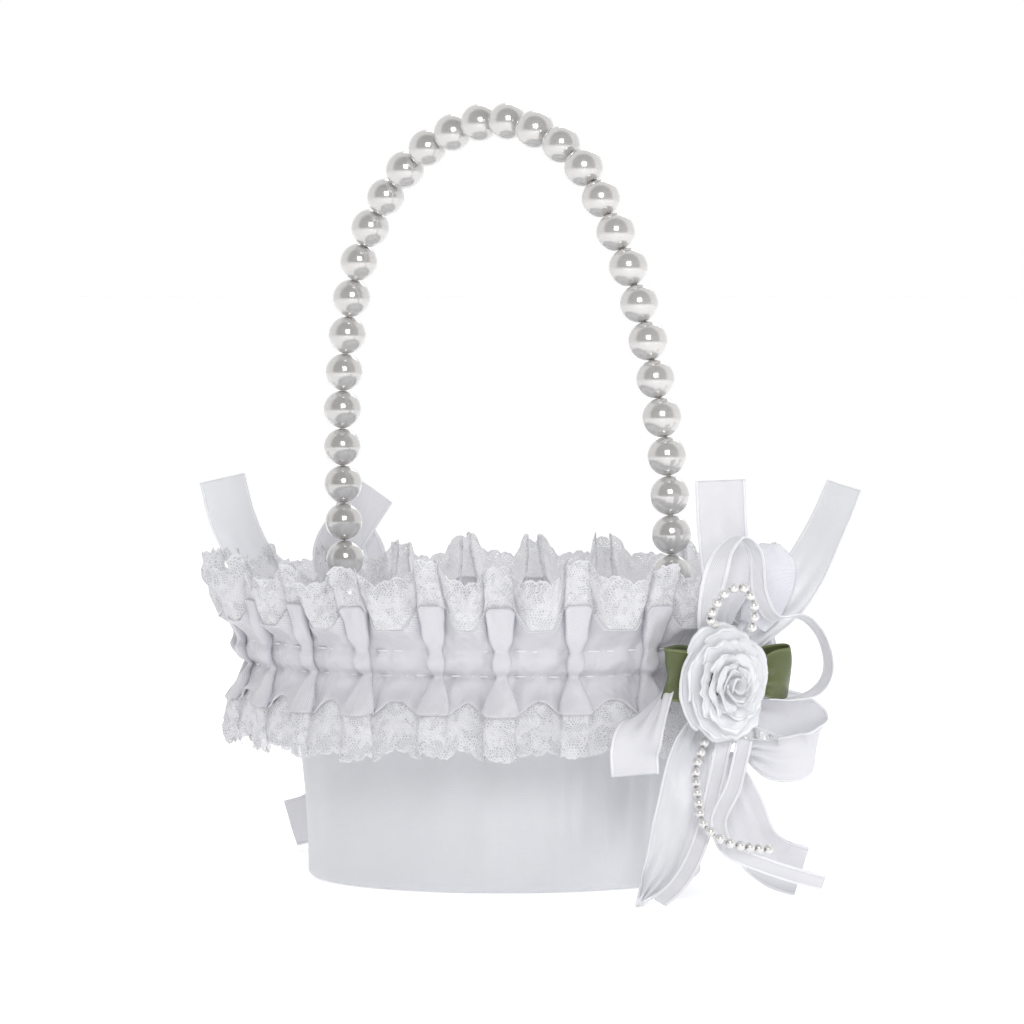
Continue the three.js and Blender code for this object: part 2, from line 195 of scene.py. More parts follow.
class Nodes:
    """Builds the nodes of a material, or of the world, with a few short calls."""

    def __init__(self, name, owners=bpy.data.materials, shader="Principled BSDF"):
        self.owner = owners.new(name)
        self.owner.use_nodes = True
        self.tree = self.owner.node_tree
        self.shader = self.tree.nodes[shader]

    def set(self, **values):
        for key, value in values.items():
            self.shader.inputs[key.replace("_", " ").title().replace("Ior", "IOR")].default_value = value
        return self

    def link(self, source, target):
        self.tree.links.new(source, target)

    def node(self, kind, **settings):
        made = self.tree.nodes.new(kind)
        for key, value in settings.items():
            setattr(made, key, value)
        return made

    def cloth(self):
        """Place on the flat cloth, x and y, and distance from a woven edge, in mm."""
        attribute = self.node("ShaderNodeAttribute", attribute_name="cloth")
        split = self.node("ShaderNodeSeparateXYZ")
        self.link(attribute.outputs["Vector"], split.inputs[0])
        return split.outputs["X"], split.outputs["Y"], split.outputs["Z"]

    def cloth_vector(self):
        return self.node("ShaderNodeAttribute", attribute_name="cloth").outputs["Vector"]

    def place_vector(self):
        """Place on the object in metres."""
        return self.node("ShaderNodeTexCoord").outputs["Object"]

    def math(self, operation, a, b=0.0, c=0.0):
        made = self.node("ShaderNodeMath", operation=operation)
        for socket, value in zip(made.inputs, (a, b, c)):
            if isinstance(value, (int, float)):
                socket.default_value = value
            else:
                self.link(value, socket)
        return made.outputs[0]

    def noise(self, vector, scale, detail=2.0, rough=0.5):
        made = self.node("ShaderNodeTexNoise")
        self.link(vector, made.inputs["Vector"])
        made.inputs["Scale"].default_value = scale
        made.inputs["Detail"].default_value = detail
        made.inputs["Roughness"].default_value = rough
        return made.outputs["Fac"]

    def ramp(self, value, low, high, out_low=0.0, out_high=1.0):
        made = self.node("ShaderNodeMapRange", interpolation_type="SMOOTHSTEP")
        self.link(value, made.inputs["Value"])
        for key, number in (("From Min", low), ("From Max", high), ("To Min", out_low), ("To Max", out_high)):
            made.inputs[key].default_value = number
        return made.outputs["Result"]

    def mix(self, share, first, second):
        made = self.node("ShaderNodeMix", data_type="RGBA")
        self.link(share, made.inputs["Factor"])
        for socket, value in ((made.inputs[6], first), (made.inputs[7], second)):
            if isinstance(value, tuple):
                socket.default_value = (*value, 1)
            else:
                self.link(value, socket)
        return made.outputs[2]

    def colour(self, output):
        self.link(output, self.shader.inputs["Base Color"])

    def roughness(self, output):
        self.link(output, self.shader.inputs["Roughness"])

    def alpha(self, output):
        self.link(output, self.shader.inputs["Alpha"])

    def bump(self, height, distance):
        """Adds relief of that height in mm over any relief already there."""
        made = self.node("ShaderNodeBump")
        made.inputs["Distance"].default_value = distance * MM
        made.inputs["Strength"].default_value = 1.0
        self.link(height, made.inputs["Height"])
        normal = self.shader.inputs["Normal"]
        if normal.is_linked:
            self.link(normal.links[0].from_socket, made.inputs["Normal"])
        self.link(made.outputs["Normal"], normal)
        return self


def waves(n, along, pitch):
    """0 to 1 waves of that pitch in mm along a cloth direction."""
    turned = n.math("MULTIPLY", along, 2 * math.pi / pitch)
    return n.math("MULTIPLY_ADD", n.math("SINE", turned), 0.5, 0.5)


def satin(name, light, dark, roughness=0.34, twill=0.36, relief=0.05, sheen=0.25, cover=1.0, creases=0.04,
          glow=0.05):
    """Satin ribbon: fine slanted ribs, raised woven edges, a soft lustre and small creases.

    glow stands for the light that comes through thin pale cloth.
    """
    n = Nodes(name)
    x, y, from_edge = n.cloth()
    slant = n.math("ADD", x, n.math("MULTIPLY", y, 0.8))
    ribs = waves(n, slant, twill)
    threads = waves(n, y, twill * 0.8)
    cloudy = n.noise(n.place_vector(), 45, 2)
    selvage = n.ramp(from_edge, 0.45, 0.65, 1, 0)
    body = n.mix(n.math("MULTIPLY_ADD", ribs, 0.6, n.math("MULTIPLY", cloudy, 0.4)), dark, light)
    n.colour(n.mix(n.math("MULTIPLY", selvage, 0.5), body, tuple(min(1.0, c * 1.12) for c in light)))
    if cover < 1:
        n.alpha(n.math("MAXIMUM", n.ramp(ribs, 0.2, 0.8, cover, min(1.0, cover + 0.08)), selvage))
    n.bump(n.noise(n.cloth_vector(), 0.12, 1), creases * 4)
    n.bump(selvage, 0.12)
    n.set(emission_strength=glow, emission_color=(*light, 1))
    n.roughness(n.ramp(n.noise(n.cloth_vector(), 0.9, 3), 0.3, 0.7, roughness - 0.02, roughness + 0.06))
    n.set(sheen_weight=sheen, sheen_roughness=0.4, sheen_tint=(0.95, 0.95, 1, 1), specular_ior_level=0.6)
    n.bump(threads, relief * 0.5).bump(ribs, relief)
    return n.owner


def tub_satin(name, glow=0.0):
    """The glued cover: plainer satin, with slight puckers and slubs."""
    n = Nodes(name)
    x, y, _ = n.cloth()
    weave = n.math("MULTIPLY", waves(n, x, 0.42), waves(n, y, 0.3))
    broad = n.noise(n.place_vector(), 35, 4)
    slubs = n.noise(n.cloth_vector(), 1.6, 4, 0.7)
    n.colour(n.mix(n.math("MULTIPLY_ADD", slubs, 0.4, n.math("MULTIPLY", broad, 0.6)),
                   (0.60, 0.61, 0.64), (0.67, 0.68, 0.71)))
    n.roughness(n.ramp(slubs, 0.3, 0.7, 0.4, 0.52))
    n.set(sheen_weight=0.3, sheen_roughness=0.5, specular_ior_level=0.45)
    # glow is a painted glow on cloth that is no lamp.
    n.set(emission_strength=glow, emission_color=WHITE)
    n.bump(n.noise(n.place_vector(), 50, 2), 0.4).bump(weave, 0.04)
    return n.owner


# The lace's edge: its depth between scallops, and the repeats and depths of scallops and teeth, in mm.
LACE_DEPTH = 9.1
LACE_SCALLOP = 9.0
LACE_SMALL_SCALLOP = 0.55      # depth of the three smaller scallops in each
LACE_TOOTH = 1.5
LACE_TOOTH_DEPTH = 0.3


def lace(name, net=0.62):
    """Close, uneven lace that opens into net near its small scalloped edge.

    The cloth's y runs from the sewn edge, 0, to the scalloped edge at about 10 mm.
    """
    n = Nodes(name)
    x, y, _ = n.cloth()
    warp = n.noise(n.cloth_vector(), 0.35, 3)
    warp_y = n.noise(n.cloth_vector(), 0.23, 3)
    u = n.math("MULTIPLY_ADD", warp, 3.2, x)
    v = n.math("MULTIPLY_ADD", warp_y, 2.6, y)

    def cell(value, pitch, shift=0.0):
        """Distance from the middle of each repeat, in mm."""
        scaled = n.math("MULTIPLY_ADD", value, 1 / pitch, shift)
        return n.math("MULTIPLY", n.math("SUBTRACT", n.math("FRACT", scaled), 0.5), pitch)

    def length(a, b):
        return n.math("SQRT", n.math("ADD", n.math("MULTIPLY", a, a), n.math("MULTIPLY", b, b)))

    def wave(operation, period):
        return n.math("ABSOLUTE", n.math(operation, n.math("MULTIPLY", x, math.pi / period)))

    even = length(cell(u, net), cell(v, net * 1.6))
    odd = length(cell(u, net, 0.5), cell(v, net * 1.6, 0.5))
    thread = n.ramp(n.math("MINIMUM", even, odd), net * 0.18, net * 0.36, 0, 1)

    motif = LACE_SCALLOP
    mx, my = cell(x, motif), n.math("SUBTRACT", y, 5.2)
    radius = length(mx, my)
    angle = n.math("ARCTAN2", my, mx)
    petals = n.math("MULTIPLY_ADD", n.math("COSINE", n.math("MULTIPLY", angle, 6)), 0.8, 2.3)
    flower = n.ramp(n.math("SUBTRACT", radius, petals), -0.5, 0.3, 1, 0)
    clump = n.ramp(n.noise(n.cloth_vector(), 0.5, 4, 0.6), 0.42, 0.58)

    edge = n.math("MULTIPLY_ADD", wave("COSINE", LACE_SCALLOP), 1.0, LACE_DEPTH)
    edge = n.math("MULTIPLY_ADD", wave("COSINE", LACE_SCALLOP / 3), LACE_SMALL_SCALLOP, edge)
    edge = n.math("MULTIPLY_ADD", wave("SINE", LACE_TOOTH), LACE_TOOTH_DEPTH, edge)
    from_edge = n.math("SUBTRACT", edge, y)
    rim = n.ramp(from_edge, 0.35, 0.6, 1, 0)
    near_edge = n.ramp(from_edge, 1.6, 3.4, 1, 0)
    dense = n.math("MAXIMUM", rim, n.math("MAXIMUM", flower, clump))
    floor_cover = n.math("MULTIPLY_ADD", near_edge, -0.28, 0.5)
    holes = n.math("MAXIMUM", thread, n.math("MAXIMUM", rim, n.math("MULTIPLY", dense, 0.75)))
    n.alpha(n.math("MULTIPLY_ADD", holes, n.math("SUBTRACT", 0.9, floor_cover), floor_cover))
    n.colour(n.mix(dense, (0.53, 0.53, 0.56), (0.61, 0.61, 0.64)))
    n.roughness(n.ramp(n.noise(n.cloth_vector(), 2.0, 2), 0.3, 0.7, 0.6, 0.85))
    n.set(sheen_weight=0.3, sheen_roughness=0.5, specular_ior_level=0.3)
    # A painted white glow, which brightens the lace and lightens its shade.
    n.set(emission_strength=0.12, emission_color=WHITE)
    n.bump(dense, 0.1).bump(thread, 0.07)
    n.owner.surface_render_method = "BLENDED"
    return n.owner


def organza(name, cover=0.55):
    """Sheer woven ribbon: fine threads with gaps between them."""
    n = Nodes(name)
    x, y, _ = n.cloth()
    threads = n.math("MAXIMUM", waves(n, x, 0.22), waves(n, y, 0.22))
    n.alpha(n.ramp(threads, 0.3, 0.95, cover, 0.9))
    n.colour(n.mix(n.noise(n.cloth_vector(), 0.8, 2), (0.76, 0.76, 0.82), (0.86, 0.86, 0.91)))
    n.roughness(n.ramp(threads, 0, 1, 0.35, 0.55))
    n.set(sheen_weight=0.5, sheen_roughness=0.3)
    n.bump(threads, 0.04)
    return n.owner


def pearl(name, light=(0.61, 0.60, 0.59), dark=(0.56, 0.55, 0.54), metallic=0.42):
    """Lacquered pearl: a bright nacre coat over a soft grey-white body."""
    n = Nodes(name)
    clouds = n.noise(n.place_vector(), 260, 3)
    n.colour(n.mix(clouds, dark, light))
    n.roughness(n.ramp(n.noise(n.place_vector(), 900, 2), 0.3, 0.7, 0.13, 0.2))
    n.set(metallic=metallic, coat_weight=0.9, coat_roughness=0.06, coat_ior=1.8, specular_ior_level=0.8)
    n.set(sheen_weight=0.35, sheen_roughness=0.3)
    n.bump(n.noise(n.place_vector(), 1400, 2), 0.01)
    return n.owner


def plain(name, light, dark, roughness, scale, relief, **settings):
    """A hidden or small piece: two tones and grain at its own scale."""
    n = Nodes(name)
    grain = n.noise(n.place_vector(), scale, 4)
    n.colour(n.mix(grain, dark, light))
    n.roughness(n.ramp(grain, 0.3, 0.7, roughness - 0.06, roughness + 0.06))
    n.bump(grain, relief)
    return n.set(**settings).owner


TUB_SATIN = tub_satin("tub_satin")
# The lining's glow is a painted glow that lightens the shade inside the tub.
LINING_SATIN = tub_satin("lining_satin", 0.14)
TRIM_SATIN = satin("trim_satin", (0.70, 0.695, 0.73), (0.52, 0.515, 0.56), roughness=0.18, glow=0.03)
BOW_SATIN = satin("bow_satin", (0.69, 0.69, 0.72), (0.61, 0.61, 0.65), roughness=0.3, cover=0.76, glow=0.18)
GLOSSY_SATIN = satin("glossy_satin", (0.73, 0.735, 0.76), (0.64, 0.645, 0.68), roughness=0.16, relief=0.03,
                     glow=0.12)
ROSE_SATIN = satin("rose_satin", (0.60, 0.61, 0.63), (0.51, 0.52, 0.55), roughness=0.18, relief=0.04,
                   glow=0.3)
LEAF_SATIN = satin("leaf_satin", (0.16, 0.19, 0.07), (0.045, 0.06, 0.02), roughness=0.18, sheen=0.03,
                   glow=0)
LACE = lace("lace")
ORGANZA = organza("organza")
PEARL = pearl("pearl")
SMALL_PEARL = pearl("small_pearl", (0.74, 0.73, 0.72), (0.69, 0.68, 0.67), metallic=0.35)
THREAD = plain("thread", (0.82, 0.82, 0.85), (0.68, 0.68, 0.72), 0.6, 4000, 0.05)
WIRE = plain("wire", (0.75, 0.74, 0.73), (0.6, 0.6, 0.6), 0.3, 3000, 0.01, metallic=1.0)
BOARD = plain("board", (0.55, 0.5, 0.42), (0.42, 0.38, 0.32), 0.85, 700, 0.08)
FOAM = plain("foam", (0.9, 0.9, 0.87), (0.8, 0.8, 0.77), 0.9, 1500, 0.15)
GLUE = plain("glue", (0.85, 0.82, 0.74), (0.75, 0.72, 0.64), 0.25, 500, 0.05)


# ---- Tub ----
TUB_BASE_R = 39.8
TUB_FLARE = 0.00248
TUB_H = 50.5
WALL = 4.6                     # cover, foam and lining together
BASE_ROUND = 1.3
RIM_ROUND = 0.9
CLOTH_R = 42                   # radius at which the cover and the lining are measured round
TUB_SEGMENTS = 360

# Upright folds in the cover: place round the tub and width in degrees, and depth in mm.
TUB_FOLDS = [
    (-31, 2.3, 1.0), (-26, 1.8, 0.7), (-18, 2.2, 1.2), (-11, 1.8, 0.8), (-4, 2.2, 1.0), (5, 3, 0.5),
    (-52, 3, 0.4), (28, 4, 0.3), (75, 4, 0.3), (120, 5, 0.35), (150, 4, 0.3), (-120, 6, 0.3),
    (-150, 4, 0.35)]


def tub_radius(z):
    return TUB_BASE_R + TUB_FLARE * z * z


def fold_relief(angle, z):
    """Shallow upright folds in the cover, deepest under the front bow and dying out at the base."""
    depth = np.zeros_like(angle)
    soft = 0.5 + 0.5 * np.cos(angle + math.radians(20))
    height = np.clip(z / 14, 0, 1) * np.clip(1.1 - z / 70, 0, 1)
    for centre, width, size in TUB_FOLDS:
        away = angle - math.radians(centre)
        off = np.degrees(np.arctan2(np.sin(away), np.cos(away)))
        depth += size * np.exp(-(off / width) ** 2)
    ripple = 0.12 * np.sin(angle * 19 + 0.6 * np.sin(angle * 7))
    return (depth * (0.6 + 0.6 * soft) + ripple) * height


def turned_skin(name, profile, material, relief):
    """A surface turned about Z from a profile of (radius, z). relief pushes it outwards."""
    profile = np.asarray(profile, float)
    angle = np.linspace(0, 2 * math.pi, TUB_SEGMENTS + 1)
    r, a = np.meshgrid(profile[:, 0], angle, indexing="ij")
    z = np.repeat(profile[:, 1][:, None], len(angle), axis=1)
    r = r + relief(a, z)
    points = np.stack([r * np.cos(a), r * np.sin(a), z], axis=-1)
    run = run_of(np.stack([profile[:, 0], profile[:, 1], profile[:, 0] * 0], axis=1))
    cloth = np.stack([a * CLOTH_R, np.repeat(run[:, None], len(angle), axis=1)], axis=-1)
    return grid(name, points, material, cloth)


def make_tub():
    quarter = np.linspace(0, math.pi / 2, 6)
    corner = [(TUB_BASE_R - BASE_ROUND + BASE_ROUND * math.sin(t), BASE_ROUND - BASE_ROUND * math.cos(t))
              for t in quarter]
    wall = [(tub_radius(z), z) for z in np.linspace(BASE_ROUND, TUB_H - RIM_ROUND, 34)][1:]
    rim_middle = tub_radius(TUB_H) - WALL / 2
    rim = [(rim_middle + WALL / 2 * math.cos(t), TUB_H - RIM_ROUND + RIM_ROUND * math.sin(t))
           for t in quarter][1:]
    base = [(r, 0) for r in (0.01, 10, 20, 30, 36)]
    outside = base + corner + wall + rim

    def outer_relief(angle, z):
        return np.where((z > 0.9) & (z < TUB_H - 1), fold_relief(angle, z), 0)

    cover = turned_skin("tub_cover", outside, TUB_SATIN, outer_relief)
    place(cover, "tub_satin", "outer_satin_cover")

    inner = [(rim_middle - WALL / 2 + WALL / 2 * (1 - math.sin(t)),
              TUB_H - RIM_ROUND + RIM_ROUND * math.cos(t)) for t in quarter]
    floor_z = 3.8
    side = [(tub_radius(z) - WALL - 0.2, z) for z in np.linspace(TUB_H - 1.4, floor_z + 2, 28)]
    floor_edge = side[-1][0]
    turn_in = [(floor_edge - 2 + 2 * math.cos(t), floor_z + 2 - 2 * math.sin(t))
               for t in quarter][1:]
    floor = [(r, floor_z) for r in np.linspace(floor_edge - 4, 0.01, 12)]

    def inner_relief(angle, z):
        gathers = 0.22 * np.sin(angle * 31 + np.sin(angle * 5) * 2) + 0.18 * np.sin(angle * 17 + z * 0.05)
        return np.where(z > floor_z + 1.5, gathers * np.clip((TUB_H - z) / 8, 0, 1), 0)

    lining = turned_skin("lining", inner + side + turn_in + floor, LINING_SATIN, inner_relief)
    place(lining, "lining_satin", "satin_lining")

    for node, material in (("base_board", BOARD), ("foam_wall", FOAM), ("handle_wire", WIRE),
                           ("front_glue_pad", GLUE), ("back_glue_pad", GLUE)):
        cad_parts[node].data.materials.clear()
        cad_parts[node].data.materials.append(material)


# ---- Handle beads ----
def make_bead(name, centre, along, radius, bore=0.62, segments=40, rings=26):
    """A drilled bead, with a softened edge where the hole breaks out."""
    reach = math.acos(bore / radius) - 0.04
    arc = [(radius * math.cos(t), radius * math.sin(t)) for t in np.linspace(-reach, reach, rings)]
    top = arc[-1]
    mouth = [(bore + 0.02, top[1] + 0.01), (bore, top[1] - 0.25), (bore, top[1] - 1.2)]
    profile = [(r, -z) for r, z in reversed(mouth)] + arc + mouth
    angle = np.linspace(0, 2 * math.pi, segments, endpoint=False)
    r, a = np.meshgrid([p[0] for p in profile], angle, indexing="ij")
    z = np.repeat(np.array([p[1] for p in profile])[:, None], segments, axis=1)
    side, other = cross_axes(along, (0, 1, 0))
    points = (np.asarray(centre) + r[..., None] * (np.cos(a)[..., None] * side + np.sin(a)[..., None] * other)
              + z[..., None] * along)
    rows = len(profile)
    faces = grid_faces(rows, segments, closed=True)
    faces += [((rows - 1) * segments + j, (rows - 1) * segments + (j + 1) % segments,
               (j + 1) % segments, j) for j in range(segments)]
    return make_mesh(name, points.reshape(-1, 3), faces, PEARL)


def make_beads():
    names = sorted(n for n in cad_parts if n.startswith("bead_"))
    centres = []
    for name in names:
        low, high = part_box(name)
        centres.append(np.array((low + high) / 2) / MM)
    centres = np.array(centres)
    along = unit(np.gradient(centres, axis=0))
    pitch = np.linalg.norm(np.diff(centres, axis=0), axis=1).mean()
    for i, name in enumerate(names):
        size = pitch / 2 * (0.998 + 0.012 * math.sin(i * 2.7))
        bead = make_bead("pearl_" + name, centres[i], along[i], size)
        place(bead, "pearl", name)


# ---- Trim ----
PLEATS = 23
STITCH_LOW = 43.5
STITCH_HIGH = 48.5
PANEL_LOW_R = 51.0             # radius of the panels at each row of stitches
PANEL_HIGH_R = 52.8
STITCH_R = 0.22
STITCH_LIFT = 0.45
STITCH_CLEAR = 2.0             # from a column's middle to the first stitch
PANEL_STITCHES = 3
HALF_SAMPLES = 26
SEAM_BLEND = 12

# Across the band, from the lower lace's free edge to the upper lace's: a panel's (radius, z), a pleat
# column's (radius, z), the column's width and rise, and how far its folds tuck under.
BAND = {
    "lower_lace": [
        ((54.8, 25.6), (55.2, 24.4), 5.4, 2.2, 0.5),
        ((54.4, 29.6), (55.2, 28.2), 5.2, 2.3, 0.6),
        ((54.0, 34.0), (55.0, 32.2), 5.0, 2.4, 0.7),
        ((53.4, 38.2), (54.2, 36.2), 4.8, 2.5, 0.8),
    ],
    "satin_ruffle": [
        ((54.3, 38.4), (55.2, 35.6), 6.4, 2.0, 0.5),
        ((52.4, 40.4), (53.2, 39.0), 4.8, 1.9, 0.9),
        ((51.6, 42.3), (52.0, 42.0), 2.8, 1.6, 1.0),
        ((PANEL_LOW_R, STITCH_LOW), (51.4, STITCH_LOW), 1.7, 1.3, 0.6),
        ((52.2, 44.9), (52.6, 44.9), 2.8, 1.7, 1.1),
        ((52.9, 46.7), (53.2, 46.7), 3.2, 1.8, 1.2),
        ((PANEL_HIGH_R, STITCH_HIGH), (53.2, STITCH_HIGH), 2.3, 1.5, 0.9),
        ((54.0, 50.0), (53.9, 50.8), 3.8, 1.9, 1.1),
        ((55.6, 51.4), (54.6, 54.0), 4.3, 2.4, 0.7),
        ((57.6, 52.8), (55.6, 57.6), 5.0, 2.7, 0.5),
    ],
    "inner_ruffle": [
        ((53.2, 39.0), (54.0, 36.6), 6.0, 1.9, 0.5),
        ((50.0, 40.8), (50.6, 40.0), 4.4, 1.4, 0.6),
        ((46.8, 42.8), (46.9, 42.8), 2.6, 0.9, 0.5),
        ((45.8, 45.0), (45.8, 45.0), 2.2, 0.5, 0.4),
        ((45.9, 47.4), (45.9, 47.4), 2.2, 0.3, 0.3),
        ((46.3, 49.2), (46.2, 49.4), 2.8, 0.4, 0.3),
        ((51.0, 50.2), (49.8, 51.6), 3.6, 1.4, 0.5),
        ((54.6, 51.2), (52.8, 53.6), 4.2, 1.9, 0.5),
        ((56.8, 52.4), (54.9, 57.0), 4.8, 2.4, 0.4),
    ],
    "upper_lace": [
        ((57.5, 52.9), (55.3, 57.4), 5.6, 2.6, 0.5),
        ((58.6, 55.6), (56.4, 59.8), 5.0, 2.4, 0.6),
        ((59.3, 58.5), (57.6, 62.2), 4.6, 2.2, 0.6),
        ((59.7, 61.4), (58.6, 64.8), 4.4, 2.0, 0.6),
    ],
}


def band_levels(name, count):
    """The band's settings at count evenly spaced levels: panel r, z, column r, z, width, rise, tuck."""
    rows = np.array([[*panel, *column, w, h, t] for panel, column, w, h, t in BAND[name]])
    line = np.concatenate([rows[:, :2], rows[:, :1] * 0, rows[:, 2:]], axis=1)
    return np.delete(smooth(line, count), 2, axis=1)


def pleat_half(width, rise, tuck, half_period):
    """Half a pleat in plan, from the middle of its column to the middle of the panel."""
    w, h = width / 2, rise
    keys = np.array([
        (0, h * 1.03, 0), (w * 0.6, h, 0), (w * 0.9, h * 0.94, 0), (w, h * 0.78, 0), (w * 0.98, h * 0.5, 0),
        (w - tuck * 0.5, 0.35, 0), (w - tuck, 0.22, 0), (w - tuck - 0.02, 0.06, 0), (w - tuck * 0.6, 0.0, 0),
        (w + 0.4, 0.0, 0), (w + 1.6, 0.15, 0), (max(w + 2.4, half_period * 0.7), 0.35, 0),
        (half_period, 0.4, 0)])
    return smooth(keys, HALF_SAMPLES + 1)[:, :2]


def pleat_variation():
    """How each pleat differs from its neighbours."""
    draw = rng.uniform
    angle = np.arange(PLEATS) * 2 * math.pi / PLEATS + draw(-0.022, 0.022, PLEATS)
    return {
        "angle": angle,
        "width": draw(0.7, 1.3, PLEATS),
        "rise": draw(0.82, 1.2, PLEATS),
        "lean": draw(-1.9, 1.9, PLEATS),
        "flare": draw(-1.3, 1.3, PLEATS),
        "drop": draw(-1.4, 1.4, PLEATS),
    }


PLEAT = pleat_variation()


def band_points(name, levels):
    """Points of one part of the band, rows across it by columns round it, and their places on the cloth."""
    rows = []
    middle = (STITCH_LOW + STITCH_HIGH) / 2
    for panel_r, panel_z, column_r, column_z, width, rise, tuck in levels:
        away = np.clip(abs(panel_z - middle) - 2.5, 0, 12) / 12
        side = np.sign(panel_z - middle)
        row = []
        for k in range(PLEATS):
            here, before = PLEAT["angle"][k], PLEAT["angle"][k - 1]
            after = PLEAT["angle"][(k + 1) % PLEATS]
            gap_before = (here - before) % (2 * math.pi)
            gap_after = (after - here) % (2 * math.pi)
            for gap, sign in ((gap_before, -1), (gap_after, 1)):
                half_period = gap / 2 * panel_r
                half = pleat_half(width * (1 + (PLEAT["width"][k] - 1) * (0.3 + away)),
                                  rise * PLEAT["rise"][k], tuck, half_period)
                a, rise_out = half[:, 0] * sign, half[:, 1]
                share = np.clip(np.abs(a) / half_period, 0, 1)
                neighbour = (k + sign) % PLEATS
                mix = 0.5 * share ** 1.5
                flare = PLEAT["flare"][k] * (1 - mix) + PLEAT["flare"][neighbour] * mix
                drop = PLEAT["drop"][k] * (1 - mix) + PLEAT["drop"][neighbour] * mix
                lean = PLEAT["lean"][k] * np.clip(1 - share * 1.2, 0, 1)
                column = np.clip(1 - (share * half_period - width * 0.35) / (width * 0.75), 0, 1)
                column = column * column * (3 - 2 * column)
                sag = np.sin(share * math.pi / 2) ** 2
                r = panel_r + (column_r - panel_r) * column + flare * away
                z = panel_z + (column_z - panel_z) * column + drop * away * 0.8 - 0.5 * side * away * sag
                out_r = 0.55 + 0.45 * (1 - away)
                r = r + rise_out * out_r
                z = z - side * rise_out * away * 0.35
                angle = here + (a + lean * away) / panel_r
                line = np.stack([r * np.cos(angle), r * np.sin(angle), z], axis=1)
                row.append(line[::-1][:-1] if sign < 0 else line[:-1])
        row = np.vstack(row)
        rows.append(np.vstack([row, row[:1]]))
    points = np.array(rows)
    across = run_of(np.stack([levels[:, 0], levels[:, 1], levels[:, 0] * 0], axis=1))
    along = np.array([run_of(r) for r in rows]).mean(axis=0)
    cloth = np.stack(np.broadcast_arrays(along[None, :], across[:, None]), axis=-1)
    return points, cloth


def close_seam(relief, x):
    """The relief brought to nothing at both ends of the cloth, which meet."""
    near_start = np.clip(1 - x / SEAM_BLEND, 0, 1)
    near_end = np.clip((x - x[..., -1:]) / SEAM_BLEND + 1, 0, 1)
    return relief - (relief[:, :1] * near_start + relief[:, -1:] * near_end)


def make_satin_ruffle():
    points, cloth = band_points("satin_ruffle", band_levels("satin_ruffle", 44))
    x, y = cloth[..., 0], cloth[..., 1]
    puff = close_seam(0.28 * crumple(x, y, 8, 71) + 0.1 * crumple(x, y, 3.5, 72), x)
    points += unit(points * np.array([1, 1, 0])) * puff[..., None]
    ruffle = grid("satin_ruffle_cloth", points, TRIM_SATIN, cloth)
    thicken(ruffle, 0.3)
    place(ruffle, "trim_satin", "satin_ruffle")


def make_inner_ruffle():
    """The layer that closes the gap between the gathered band and the tub."""
    points, cloth = band_points("inner_ruffle", band_levels("inner_ruffle", 30))
    backing = grid("inner_ruffle_cloth", points, TRIM_SATIN, cloth)
    place(backing, "trim_satin")


def make_lace(name, seed, downwards=False):
    """Lace from the ruffle's edge out to its own scallops, frilled more towards them."""
    levels = band_levels(name, 16)
    points, cloth = band_points(name, levels[::-1] if downwards else levels)
    x = cloth[0, :, 0]
    edge = (LACE_DEPTH + np.abs(np.cos(x * math.pi / LACE_SCALLOP))
            + LACE_SMALL_SCALLOP * np.abs(np.cos(x * 3 * math.pi / LACE_SCALLOP))
            + LACE_TOOTH_DEPTH * np.abs(np.sin(x * math.pi / LACE_TOOTH)))
    stretch = edge / cloth[-1, 0, 1]
    grown = points[0] + (points - points[0]) * stretch[None, :, None]
    cloth[..., 1] *= stretch[None, :]
    share = cloth[..., 1] / 10
    frill = 1.1 * share ** 1.3 * crumple(x[None, :], cloth[..., 1] * 0.4, 9, seed)
    frill += 0.35 * share * crumple(x[None, :], cloth[..., 1], 4, seed + 20)
    frill = close_seam(frill, x)
    away = unit(grown * np.array([1, 1, 0]) + UP * 0.2)
    piece = grid(name + "_cloth", grown + away * frill[..., None], LACE, cloth)
    place(piece, "lace", name)


def make_trim():
    make_satin_ruffle()
    make_inner_ruffle()
    make_lace("upper_lace", 41)
    make_lace("lower_lace", 42, downwards=True)
    make_stitches()


def capsule_row(name, segments, radius, material, sides=6):
    """Many short thread stitches as one object. segments are (start, end) pairs."""
    points, faces = [], []
    for start, end in segments:
        start, end = np.asarray(start, float), np.asarray(end, float)
        along = unit(end - start)
        side, other = cross_axes(along, UP)
        base = len(points)
        rings = ((0, 0.25), (0.12, 0.8), (0.5, 1.0), (0.88, 0.8), (1, 0.25))
        for t, size in rings:
            for j in range(sides):
                a = 2 * math.pi * j / sides
                points.append(start + (end - start) * t
                              + radius * size * (math.cos(a) * side + math.sin(a) * other))
        faces += grid_faces(len(rings), sides, closed=True, start=base)
        faces.append(tuple(base + j for j in reversed(range(sides))))
        faces.append(tuple(base + (len(rings) - 1) * sides + j for j in range(sides)))
    return make_mesh(name, points, faces, material)


def make_stitches():
    """Two rows of running stitches across the panels."""
    segments = []
    for z, panel_r in ((STITCH_LOW, PANEL_LOW_R), (STITCH_HIGH, PANEL_HIGH_R)):
        radius = panel_r + STITCH_LIFT
        clear = STITCH_CLEAR / radius
        for k in range(PLEATS):
            here = PLEAT["angle"][k]
            gap = (PLEAT["angle"][(k + 1) % PLEATS] - here) % (2 * math.pi)
            span = gap - 2 * clear
            for i in range(PANEL_STITCHES):
                a = here + clear + span * (i + 0.16) / PANEL_STITCHES
                b = here + clear + span * (i + 0.84) / PANEL_STITCHES
                lift = z + 0.12 * math.sin(k * 1.7 + i)
                segments.append(((radius * math.cos(a), radius * math.sin(a), lift),
                                 (radius * math.cos(b), radius * math.sin(b), lift)))
    place(capsule_row("trim_stitches", segments, STITCH_R, THREAD), "trim_satin")


